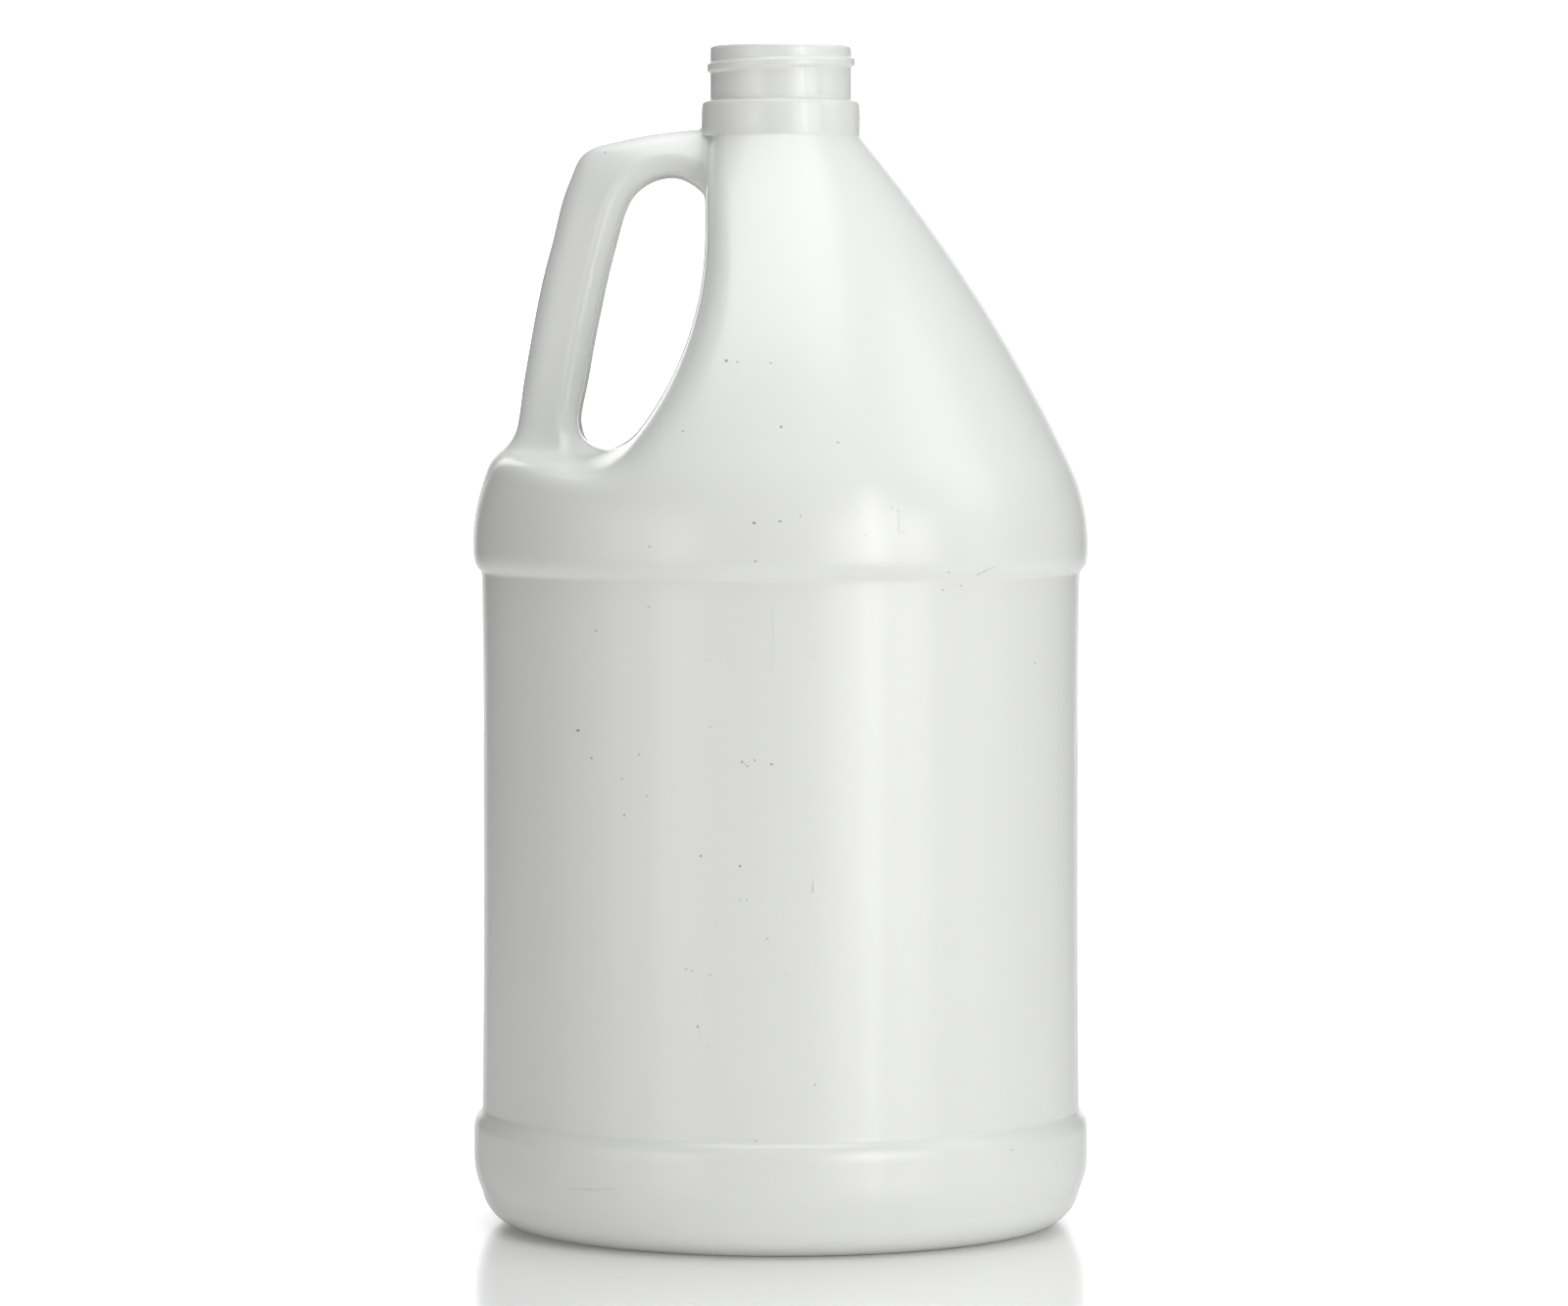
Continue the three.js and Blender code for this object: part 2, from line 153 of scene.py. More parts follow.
# Specks on the front, (x, z, half width, half height, tone), dark to faint
SPECKS = [
    (-13.3, 218.9, 0.52, 0.43, 0), (-10.6, 218.5, 0.43, 0.35, 1), (-2.4, 218.3, 0.43, 0.35, 1),
    (11.6, 216.7, 0.26, 0.17, 2), (13, 216, 0.26, 0.26, 2), (0.1, 202.8, 0.43, 0.35, 0),
    (-23.8, 201.7, 0.43, 0.35, 1), (13.9, 199, 0.43, 0.26, 1), (-6.5, 179.6, 0.52, 0.43, 0),
    (-0.1, 180.1, 0.61, 0.26, 0), (4.8, 181.4, 0.26, 0.35, 0), (20.5, 176.7, 0.35, 0.26, 2),
    (-31.8, 173.8, 0.35, 0.26, 1), (-6.1, 170.4, 0.43, 0.26, 0), (39.5, 163.1, 0.43, 0.26, 1),
    (44, 164, 0.35, 0.26, 1), (-32.1, 159.1, 0.35, 0.26, 1), (-45.2, 152.9, 0.35, 0.35, 1),
    (-18, 146.2, 0.35, 0.26, 2), (7.9, 147.3, 0.35, 0.26, 2), (62.9, 144.1, 0.35, 0.26, 1),
    (-17, 130, 0.35, 0.17, 1), (-49.7, 128.3, 0.52, 0.35, 0), (-46.3, 121.6, 0.43, 0.26, 0),
    (-34.5, 123, 0.35, 0.35, 1), (-9.4, 121.7, 0.35, 0.26, 0), (-8, 120.6, 0.26, 0.26, 0),
    (-6.3, 122.1, 0.26, 0.26, 0), (-2.3, 121.1, 0.43, 0.35, 0), (-38.7, 116.9, 0.35, 0.26, 1),
    (-26.4, 114.8, 0.43, 0.26, 2), (-32.5, 113, 0.35, 0.26, 1), (-38.2, 108, 0.35, 0.35, 1),
    (-27.2, 105.1, 0.35, 0.26, 2), (-19.4, 98.6, 0.43, 0.35, 0), (-9.9, 96.3, 0.35, 0.35, 0),
    (-9.9, 88, 0.35, 0.26, 1), (-8.2, 88, 0.26, 0.26, 1), (-4.7, 87.8, 0.26, 0.26, 2),
    (0.8, 87.8, 0.26, 0.26, 2), (6, 87.3, 0.26, 0.17, 2), (-15.6, 82.4, 0.35, 0.26, 2),
    (-3.2, 78.7, 0.35, 0.26, 1), (-23, 71, 0.35, 0.26, 1), (-21.6, 70.6, 0.26, 0.26, 1),
    (-17.1, 69.7, 0.35, 0.26, 1), (1.3, 69.7, 0.35, 0.26, 2), (-20.2, 57, 0.26, 0.43, 0),
    (-17.8, 52.5, 0.35, 0.26, 2), (8.4, 43.1, 0.35, 0.35, 1), (-6.1, 29.3, 0.35, 0.43, 1),
    (57.1, 24.4, 0.43, 0.26, 1), (58.4, 15, 0.35, 0.26, 2), (56.3, 10, 0.35, 0.26, 2),
    (-44.3, 271.4, 0.35, 0.35, 1), (9.7, 286.3, 0.26, 0.26, 2), (26.9, 183.3, 0.26, 0.26, 1),
    (28.4, 182.4, 0.26, 0.26, 1), (40.9, 167.3, 0.5, 0.2, 1),
]
# Scratches on the front, (half width, tone, [(x, z), ...])
SCRATCHES = [
    (0.14, 1, [(-9.4, 121.7), (-8.7, 121.1), (-8, 120.6)]),
    (0.12, 2, [(28.6, 181.8), (28.6, 179.7), (28.6, 177.3)]),
    (0.12, 2, [(28.6, 177.3), (29.6, 177.2), (30.5, 177.1)]),
    (0.15, 1, [(47.7, 166.3), (49.6, 167.3), (52.4, 168.5)]),
    (0.08, 2, [(-2.3, 159.2), (-1.8, 153.2), (-2, 147.8), (-2.3, 142.5)]),
    (0.14, 1, [(7.7, 93.3), (7.8, 91.4), (7.7, 89.4)]),
    (0.14, 2, [(-52.7, 15.5), (-46.5, 15.9), (-40.4, 16.6)]),
    (0.12, 2, [(-19.9, 58), (-19.7, 56.5), (-19.9, 55.1)]),
]
MARK_TONES = [(0.38, 0.37, 0.34), (0.53, 0.52, 0.49), (0.67, 0.66, 0.62)]
MARK_ROUGHNESS = 0.6
MARK_SEED = 7
MARK_SIDES = 9
MARK_PROUD = 0.05
MARK_SUNK = 0.4
SPECK_TURN = 0.3
SPECK_REACH = (0.6, 1.15)
SCRATCH_STEP = 0.7
SCRATCH_REACH = (0.45, 1.1)
SCRATCH_TIP = 0.02

# Plastic: its colour, its roughness, and the scale and depth of its relief, in metres
PLASTIC_COLOR = (0.801, 0.807, 0.777, 1.0)
PLASTIC_ROUGHNESS = (0.24, 0.27)
RIPPLE_SCALE = 45.0
RIPPLE_DEPTH = 0.00012
DIE_LINE_SCALE = (150.0, 150.0, 5.0)
DIE_LINE_DEPTH = 0.00001
GRAIN_SCALE = 900.0
GRAIN_DEPTH = 0.000012

# Stage, in metres
FLOOR_FRONT = -3.0
FLOOR_BACK = 2.2
FLOOR_HALF_WIDTH = 4.0
FLOOR_COLOR = (0.9, 0.9, 0.89)
FLOOR_ROUGHNESS = 0.2
FLOOR_GLOW = 0.04
BACKDROP_BEND = 0.4
BACKDROP_TOP = 1.5
BACKDROP_HALF_WIDTH = 0.9
BACKDROP_COLOR = (0.9, 0.9, 0.9)
BACKDROP_ROUGHNESS = 0.9
BACKDROP_GLOW = 1.25

# Softboxes: name, azimuth and elevation in degrees, distance, width, height, power and colour
NEUTRAL = (1.0, 1.0, 1.0)
COOL = (0.97, 0.985, 1.0)
LIGHTS = [
    ("front_right", 25, 5, 1.5, 0.4, 0.8, 3.1, NEUTRAL),
    ("strip_right", 35, 12, 1.5, 0.15, 1.1, 4.7, NEUTRAL),
    ("side_right", 50, 5, 1.5, 0.4, 0.8, 3.4, NEUTRAL),
    ("edge_right", 80, 5, 1.5, 0.4, 0.8, 1.0, NEUTRAL),
    ("high_right", 80, 35, 1.5, 0.7, 0.9, 3.2, COOL),
    ("front_left", -38, 5, 1.5, 0.5, 0.8, 2.9, NEUTRAL),
    ("side_left", -50, 5, 1.5, 0.4, 0.8, 0.7, NEUTRAL),
    ("low_left", -63, 5, 1.5, 0.3, 0.8, 1.3, NEUTRAL),
    ("edge_left", -80, 5, 1.5, 0.4, 0.8, 0.5, NEUTRAL),
    ("top", 0, 85, 1.3, 1.2, 1.2, 13.3, COOL),
    ("top_rear", 180, 60, 1.3, 1.2, 0.8, 3.4, NEUTRAL),
]
LIGHTS_TARGET = (0.0, 0.0, 0.15)

# Camera
CAMERA_PLACE = (0.00080, -1.621, 0.2166)
CAMERA_DIP = 2.537
FOCAL_LENGTH = 146.7
SENSOR_WIDTH = 36.0
CLIP_RANGE = (0.05, 20.0)

# How finely the shapes are worked out
OUTLINE_STEP = 0.2
BODY_GRID = ((-1.0, -8.0), (88.0, 304.0), 0.4)
HANDLE_GRID = ((-95.0, 155.0), (12.0, 292.0), 0.5)
JUG_SPACING = 1.5
CAVITY_SPACING = 2.6
PROBE = 0.12
PROJECTIONS = 4
LEAST_SLOPE = 0.05
LONGEST_MOVE = 0.6
APPROACH_START = -90.0
APPROACH_STEPS = 80
APPROACH_PACE = 0.9

# Half width of the lattice, and what it narrows to at some heights on the right and at the handle
SPAN = 81.0
LATTICE_HEIGHTS = [-3, 178, 200, 240, 262, 275.5, 280, 302]
LATTICE_WIDTHS = [81, 81, 76, 52, 36, 26, 22.5, 22.5]
LATTICE_HANDLE_WIDTHS = [81, 81, 76, 64, 58, 50, 22.5, 22.5]


def line(start, end):
    """Points along a straight line, after its first."""
    count = max(int(math.dist(start, end) / OUTLINE_STEP), 1)
    return [tuple(np.add(start, np.subtract(end, start) * i / count)) for i in range(1, count + 1)]


def bezier(points):
    """Points along a quadratic or cubic Bezier curve, after its first."""
    length = sum(math.dist(a, b) for a, b in zip(points, points[1:]))
    count = max(int(length / OUTLINE_STEP), 4)
    order = len(points) - 1
    made = []
    for i in range(1, count + 1):
        t = i / count
        weights = [math.comb(order, j) * t ** j * (1 - t) ** (order - j) for j in range(order + 1)]
        made.append(tuple(sum(w * p[axis] for w, p in zip(weights, points)) for axis in (0, 1)))
    return made


def arc(centre, radius, start, end):
    """Points along an arc, after its first."""
    count = max(int(abs(end - start) * radius / OUTLINE_STEP), 4)
    angles = [start + (end - start) * i / count for i in range(1, count + 1)]
    return [(centre[0] + radius * math.cos(a), centre[1] + radius * math.sin(a)) for a in angles]


def tangent_arc(start, normal_angle, end):
    """The arc that leaves start with that normal and passes through end."""
    inward = (-math.cos(normal_angle), -math.sin(normal_angle))
    chord = (end[0] - start[0], end[1] - start[1])
    radius = math.hypot(*chord) ** 2 / (2 * (chord[0] * inward[0] + chord[1] * inward[1]))
    centre = (start[0] + radius * inward[0], start[1] + radius * inward[1])
    finish = math.atan2(end[1] - centre[1], end[0] - centre[0])
    return arc(centre, radius, normal_angle, finish)


def body_outline():
    """The closed outline (radius, height) of everything turned about the jug's axis."""
    heel_middle = (HEEL_RADIUS + CONTACT_RADIUS) / 2
    panel_middle = (PANEL_BOTTOM + PANEL_TOP) / 2
    points = [(-1.0, PUSH_UP)]
    points += line(points[-1], (HEEL_RADIUS, HEEL_HEIGHT))
    points += bezier([points[-1], (heel_middle, HEEL_HEIGHT), (heel_middle, 0), (CONTACT_RADIUS, 0)])
    points += line(points[-1], (CORNER_CENTRE_RADIUS, 0))
    points += arc((CORNER_CENTRE_RADIUS, CORNER_RADIUS), CORNER_RADIUS, -math.pi / 2, -CORNER_LEAN)
    points += bezier([
        points[-1], (ROLL_RADIUS, LOWER_ROLL_BOTTOM - LOWER_ROLL_EASE), (ROLL_RADIUS, LOWER_ROLL_BOTTOM)])
    points += line(points[-1], (ROLL_RADIUS, LOWER_ROLL_TOP))
    points += bezier([
        points[-1], (ROLL_RADIUS, PANEL_BOTTOM - STEP_RISE), (PANEL_RADIUS, PANEL_BOTTOM)])
    points += bezier([
        points[-1], (2 * PANEL_WAIST_RADIUS - PANEL_RADIUS, panel_middle), (PANEL_RADIUS, PANEL_TOP)])
    points += bezier([
        points[-1], (ROLL_RADIUS, PANEL_TOP + STEP_RISE), (ROLL_RADIUS, UPPER_ROLL_BOTTOM)])
    points += line(points[-1], (ROLL_RADIUS, SHOULDER_BOTTOM))
    points += arc(
        (ROLL_RADIUS - SHOULDER_ARC_RADIUS, SHOULDER_BOTTOM), SHOULDER_ARC_RADIUS, 0, SHOULDER_ARC_ANGLE)
    points += tangent_arc(points[-1], SHOULDER_ARC_ANGLE, (COLLAR_RADIUS, COLLAR_BOTTOM))
    points += bezier([
        points[-1], (COLLAR_RADIUS + COLLAR_BULGE, (COLLAR_BOTTOM + COLLAR_TOP) / 2),
        (COLLAR_RADIUS, COLLAR_TOP - COLLAR_ROUNDING)])
    points += bezier([
        points[-1], (COLLAR_RADIUS, COLLAR_TOP), (COLLAR_RADIUS - COLLAR_ROUNDING, COLLAR_TOP)])
    points += line(points[-1], (NECK_RADIUS + NECK_FILLET, COLLAR_TOP))
    points += bezier([points[-1], (NECK_RADIUS, COLLAR_TOP), (NECK_RADIUS, COLLAR_TOP + NECK_FILLET)])
    points += line(points[-1], (NECK_RADIUS, RIM_TOP - RIM_ROUNDING))
    points += arc((NECK_RADIUS - RIM_ROUNDING, RIM_TOP - RIM_ROUNDING), RIM_ROUNDING, 0, math.pi / 2)
    points += line(points[-1], (-1.0, RIM_TOP))
    points += line(points[-1], (-1.0, PUSH_UP))
    return np.array(points)


def spline(points):
    """A smooth curve through points: a natural cubic spline over their chords."""
    points = np.array(points, dtype=float)
    chords = np.hypot(*np.diff(points, axis=0).T)
    at = np.concatenate([[0.0], np.cumsum(chords)])
    count = len(points)
    system = np.zeros((count, count))
    right = np.zeros((count, 2))
    system[0, 0] = system[-1, -1] = 1.0
    for i in range(1, count - 1):
        before, after = chords[i - 1], chords[i]
        system[i, i - 1:i + 2] = before, 2 * (before + after), after
        rise = (points[i + 1] - points[i]) / after - (points[i] - points[i - 1]) / before
        right[i] = 6 * rise
    bend = np.linalg.solve(system, right)
    t = np.linspace(0.0, at[-1], int(at[-1] / OUTLINE_STEP))
    i = np.clip(np.searchsorted(at, t, side="right") - 1, 0, count - 2)
    a = ((at[i + 1] - t) / chords[i])[:, None]
    b = 1.0 - a
    square = (chords[i] ** 2 / 6)[:, None]
    bent = (a ** 3 - a) * bend[i] + (b ** 3 - b) * bend[i + 1]
    return a * points[i] + b * points[i + 1] + bent * square


class Outline:
    """The signed distance to a closed outline, negative inside, read smoothly from a grid."""

    def __init__(self, outline, low, high, step):
        self.low, self.step = low, step
        u = np.arange(low[0], high[0] + step, step)
        v = np.arange(low[1], high[1] + step, step)
        self.values = self.distance(outline, u, v) * self.side(outline, u, v)

    def distance(self, outline, u, v):
        ends = np.roll(outline, -1, axis=0)
        stride = 6
        coarse = outline[::stride]
        grid = np.stack(np.meshgrid(u, v, indexing="ij"), axis=-1).reshape(-1, 2)
        found = np.full(len(grid), np.inf)
        block = 20000
        around = np.arange(-stride - 2, stride + 2)
        for first in range(0, len(grid), block):
            spots = grid[first:first + block]
            gap = ((spots[:, None, :] - coarse[None]) ** 2).sum(axis=2)
            nearest = gap.argmin(axis=1) * stride
            for offset in around:
                k = (nearest + offset) % len(outline)
                start, along = outline[k], ends[k] - outline[k]
                share = ((spots - start) * along).sum(axis=1) / np.maximum((along ** 2).sum(axis=1), 1e-12)
                foot = start + along * np.clip(share, 0, 1)[:, None]
                away = np.hypot(*(spots - foot).T)
                found[first:first + block] = np.minimum(found[first:first + block], away)
        return found.reshape(len(u), len(v))

    def side(self, outline, u, v):
        """-1 inside and 1 outside, by where each level crosses the outline."""
        ends = np.roll(outline, -1, axis=0)
        sides = np.ones((len(u), len(v)))
        for j, level in enumerate(v):
            level += 1e-6
            crossing = (outline[:, 1] <= level) != (ends[:, 1] <= level)
            a, b = outline[crossing], ends[crossing]
            where = np.sort(a[:, 0] + (level - a[:, 1]) * (b[:, 0] - a[:, 0]) / (b[:, 1] - a[:, 1]))
            sides[:, j] = np.where(np.searchsorted(where, u) % 2 == 1, -1.0, 1.0)
        return sides

    def __call__(self, u, v):
        column, s = self.place(u, self.low[0], self.values.shape[0])
        row, t = self.place(v, self.low[1], self.values.shape[1])
        across, up = self.weights(s), self.weights(t)
        total = np.zeros(np.shape(u))
        for i in range(4):
            for j in range(4):
                total += across[i] * up[j] * self.values[column + i - 1, row + j - 1]
        return total

    def place(self, values, low, count):
        scaled = (values - low) / self.step
        cell = np.clip(np.floor(scaled).astype(int), 1, count - 3)
        return cell, np.clip(scaled - cell, 0.0, 1.0)

    @staticmethod
    def weights(t):
        """Catmull-Rom."""
        return (
            ((-t + 2) * t - 1) * t / 2,
            ((3 * t - 5) * t * t + 2) / 2,
            ((-3 * t + 4) * t + 1) * t / 2,
            (t - 1) * t * t / 2)


def smooth_max(a, b, reach):
    """The larger of two values, rounded where they are within reach of each other."""
    share = np.maximum(reach - np.abs(a - b), 0.0)
    return np.maximum(a, b) + share * share / (4 * reach)


def smooth_min(a, b, reach):
    return -smooth_max(-a, -b, reach)


def ease(value, low, high):
    """From 0 at low to 1 at high, level at both ends."""
    t = np.clip((value - low) / (high - low), 0.0, 1.0)
    return t * t * (3 - 2 * t)


body_shape = Outline(body_outline(), *BODY_GRID)
grip_shape = Outline(np.array([*spline(HANDLE_OUTER_EDGE), *GRIP_CLOSING_POINTS]), *HANDLE_GRID)
hole_shape = Outline(np.array([*spline(HOLE_LEFT_EDGE), *HOLE_CLOSING_POINTS]), *HANDLE_GRID)


def pocket_field(x, y, z):
    """Distance into the pocket beside the handle, and how much of it is wall rather than floor."""
    upright = POCKET_WALL_X - x
    bowed = POCKET_ARC_RADIUS - np.hypot(x - POCKET_WALL_X + POCKET_ARC_RADIUS, z - POCKET_ARC_HEIGHT)
    wall = np.where(z > POCKET_ARC_HEIGHT, upright, bowed)
    floor = z - POCKET_FLOOR
    wall = wall + POCKET_WALL_DRAFT * y * y
    floor = floor + POCKET_FLOOR_DRAFT * y * y
    depth = smooth_min(wall, floor, POCKET_CORNER)
    return depth, ease(floor - wall, *POCKET_FLOOR_TO_WALL)


def thread_rise(x, y, z):
    """How far the thread stands out of the neck here."""
    angle = np.mod(np.arctan2(y, x), 2 * math.pi)
    rise = np.zeros(np.shape(x))
    for turn in (angle, angle + 2 * math.pi):
        middle = THREAD_FRONT_HEIGHT + THREAD_LEAD * (turn / (2 * math.pi) - THREAD_FRONT_TURN)
        fade = ease(turn, THREAD_START, THREAD_START + THREAD_FADE)
        fade = fade * (1 - ease(turn, THREAD_END - THREAD_FADE, THREAD_END))
        crest = 1 - ease(np.abs(z - middle), THREAD_CREST_HEIGHT / 2, THREAD_HEIGHT / 2)
        rise = np.maximum(rise, THREAD_RISE * fade * crest)
    return rise


def flashless_field(x, y, z):
    """The jug's outside without its thread and flash."""
    body = body_shape(np.hypot(x, y), z)
    depth, wallness = pocket_field(x, y, z)
    wall_blend = POCKET_WALL_BLEND + (POCKET_TOP_BLEND - POCKET_WALL_BLEND) * ease(z, *POCKET_TOP_SPAN)
    blend = POCKET_FLOOR_BLEND + (wall_blend - POCKET_FLOOR_BLEND) * wallness
    hollowed = smooth_max(body, depth + WALL_FLASH_WIDTH, blend)
    hollowed = np.where(z > COLLAR_BOTTOM, body, hollowed)
    outer = grip_shape(x, z) + HANDLE_OUTER_CURVE * y * y
    inset = hole_shape(x, z)
    low, high = POCKET_FLOOR - LOWER_ROOT_DROP, POCKET_FLOOR + LOWER_ROOT_SPAN
    flare = LOWER_ROOT_FLARE * (1 - ease(z, low, high)) ** 2
    past = np.abs(y) - HANDLE_HALF_DEPTH - flare
    from_ridge = inset - HANDLE_RIDGE_INSET
    front = (past + HANDLE_FRONT_SLOPE * from_ridge) / math.hypot(1, HANDLE_FRONT_SLOPE)
    bevel = (past - HANDLE_BEVEL_SLOPE * from_ridge) / math.hypot(1, HANDLE_BEVEL_SLOPE)
    sides = smooth_max(front, bevel, HANDLE_RIDGE_ROUNDING)
    grip = smooth_max(outer, sides, HANDLE_OUTER_ROUNDING)
    grip = smooth_max(grip, FLASH_WIDTH - inset, HANDLE_INNER_ROUNDING)
    root = ROOT_BLEND + (TOP_ROOT_BLEND - ROOT_BLEND) * ease(
        z, TOP_ROOT_HEIGHT, TOP_ROOT_HEIGHT + TOP_ROOT_SPAN)
    joined = smooth_min(hollowed, grip, root)
    return np.where(x < HANDLE_REACH, joined, hollowed)


def hole_field(x, z):
    """Distance out of the hole through the handle, at the parting plane."""
    depth, _ = pocket_field(x, np.zeros(np.shape(x)), z)
    return smooth_max(-depth, hole_shape(x, z), HOLE_CORNER)


def outside_field(x, y, z):
    """The jug's outside, with its thread, flash and bore."""
    field = flashless_field(x, y, z)
    neck = (z > COLLAR_TOP) & (z < RIM_TOP)
    field = field - np.where(neck, thread_rise(x, y, z), 0.0)
    beyond = hole_field(x, z)
    flash = np.maximum(-beyond, beyond - FLASH_ROOT)
    flash = smooth_max(np.abs(y) - FLASH_HALF_THICKNESS, flash, FLASH_EDGE)
    field = smooth_min(field, flash, FLASH_BLEND)
    bore = np.maximum(np.hypot(x, y) - BORE_RADIUS, BORE_BOTTOM - z)
    return smooth_max(field, -bore, BORE_EDGE)


def inside_field(x, y, z):
    """The space inside the jug, up into its bore."""
    limit = BORE_RADIUS + BORE_CLEARANCE + CAVITY_TAPER * np.maximum(CAVITY_TAPER_TOP - z, 0.0)
    space = smooth_max(flashless_field(x, y, z) + WALL, np.hypot(x, y) - limit, CAVITY_BLEND)
    return np.maximum(space, z - CAVITY_TOP)


def graded(*stretches):
    """Levels from stretches of (start, end, spacing)."""
    levels = [stretches[0][0]]
    for start, end, spacing in stretches:
        count = max(round((end - start) / spacing), 1)
        levels += [start + (end - start) * i / count for i in range(1, count + 1)]
    return np.array(levels)


def mirrored(levels):
    return np.concatenate([-levels[:0:-1], levels])


def lattice(spacing):
    """The levels of a lattice, closer at the parting plane, the rolls, the handle's top and the neck."""
    across = mirrored(graded((0, 12, spacing * 0.8), (12, SPAN, spacing)))
    deep = mirrored(graded((0, 1.2, 0.3), (1.2, 12, spacing * 0.8), (12, SPAN, spacing)))
    up = graded(
        (-2.4, 22, spacing * 0.85), (22, 31, spacing * 0.4), (31, 163, spacing * 1.6),
        (163, 172, spacing * 0.4), (172, 200, spacing * 0.7), (200, 262, spacing),
        (262, 301, spacing * 0.32))
    return across, deep, up


def spread(x, y, z):
    """Lattice coordinates to places: the lattice narrows upwards with the jug."""
    width = np.interp(z, LATTICE_HEIGHTS, LATTICE_WIDTHS) / SPAN
    handle = np.interp(z, LATTICE_HEIGHTS, LATTICE_HANDLE_WIDTHS) / SPAN
    return np.where(x < 0, x * handle, x * width), y * width, z


def crossing_edges(values, axis):
    """The edges along an axis that the surface crosses: index, share, and if they start inside."""
    first = [slice(None)] * 3
    second = [slice(None)] * 3
    first[axis], second[axis] = slice(0, -1), slice(1, None)
    low, high = values[tuple(first)], values[tuple(second)]
    index = np.argwhere((low < 0) != (high < 0))
    at = tuple(index.T)
    return index, low[at] / (low[at] - high[at]), low[at] < 0


def surface_net(field, levels):
    """A closed mesh of quads on field = 0."""
    grid = np.meshgrid(*levels, indexing="ij")
    values = np.empty(grid[0].shape)
    for i in range(len(levels[0])):
        values[i] = field(*spread(grid[0][i], grid[1][i], grid[2][i]))
    values[values == 0] = 1e-9
    shape = np.array(values.shape)
    rows = []
    quads = []
    for axis in range(3):
        index, share, starts_inside = crossing_edges(values, axis)
        flat = [levels[a][index[:, a]] for a in range(3)]
        ahead = levels[axis][index[:, axis] + 1]
        flat[axis] = flat[axis] + (ahead - flat[axis]) * share
        b, c = (axis + 1) % 3, (axis + 2) % 3
        ring = []
        for step_b, step_c in ((0, 0), (-1, 0), (-1, -1), (0, -1)):
            cell = index.copy()
            cell[:, b] += step_b
            cell[:, c] += step_c
            key = np.ravel_multi_index(tuple(cell.T), shape)
            ring.append(key)
            rows.append(np.column_stack([key, *flat]))
        ring = np.column_stack(ring)
        ring[~starts_inside] = ring[~starts_inside][:, ::-1]
        quads.append(ring)
    rows = np.concatenate(rows)
    quads = np.concatenate(quads)
    keys, place = np.unique(rows[:, 0].astype(np.int64), return_inverse=True)
    count = np.bincount(place)
    middle = [np.bincount(place, rows[:, 1 + a]) / count for a in range(3)]
    points = np.column_stack(spread(*middle))
    return settle(field, points), np.searchsorted(keys, quads)


def gradient(field, points):
    slopes = []
    for axis in range(3):
        step = np.zeros(3)
        step[axis] = PROBE
        slopes.append(field(*(points + step).T) - field(*(points - step).T))
    return np.column_stack(slopes) / (2 * PROBE)


def settle(field, points):
    """Moves points near the surface onto it."""
    for _ in range(PROJECTIONS):
        slope = gradient(field, points)
        strength = np.maximum((slope ** 2).sum(axis=1), LEAST_SLOPE)
        move = np.clip(-field(*points.T) / strength, -LONGEST_MOVE, LONGEST_MOVE)
        points = points + slope * move[:, None]
    return points


def make_mesh(name, points, quads):
    mesh = bpy.data.meshes.new(name)
    mesh.from_pydata((points * MM).tolist(), [], quads.tolist())
    mesh.update()
    obj = bpy.data.objects.new(name, mesh)
    bpy.context.collection.objects.link(obj)
    return obj


def cut(obj, other):
    """Takes one solid out of another, and keeps the result as the first one's mesh."""
    step = obj.modifiers.new("cut", "BOOLEAN")
    step.operation = "DIFFERENCE"
    step.solver = "MANIFOLD"
    step.object = other
    graph = bpy.context.evaluated_depsgraph_get()
    result = bpy.data.meshes.new_from_object(obj.evaluated_get(graph))
    obj.modifiers.clear()
    obj.data = result
    bpy.data.objects.remove(other)


jug = make_mesh("jug_shell", *surface_net(outside_field, lattice(JUG_SPACING)))
cavity = make_mesh("jug_cavity", *surface_net(inside_field, lattice(CAVITY_SPACING)))
cut(jug, cavity)
jug.data.shade_smooth()


def on_front(x, z):
    """Places on the front surface at these x and z, and the surface's directions there."""
    x, z = np.array(x, dtype=float), np.array(z, dtype=float)
    y = np.full(len(x), APPROACH_START)
    for _ in range(APPROACH_STEPS):
        y += APPROACH_PACE * outside_field(x, y, z)
    points = np.column_stack([x, y, z])
    slope = gradient(outside_field, points)
    return points, slope / np.linalg.norm(slope, axis=1)[:, None]


def add_lens(rim_x, rim_z, hub_x, hub_z, vertices, faces):
    """A closed flat lens whose rim lies on the surface."""
    points, out = on_front([*rim_x, hub_x], [*rim_z, hub_z])
    first = len(vertices)
    vertices += list(points[:-1]) + [points[-1] + out[-1] * MARK_PROUD, points[-1] - out[-1] * MARK_SUNK]
    count = len(rim_x)
    top, bottom = first + count, first + count + 1
    for i in range(count):
        a, b = first + i, first + (i + 1) % count
        faces += [(a, b, top), (b, a, bottom)]


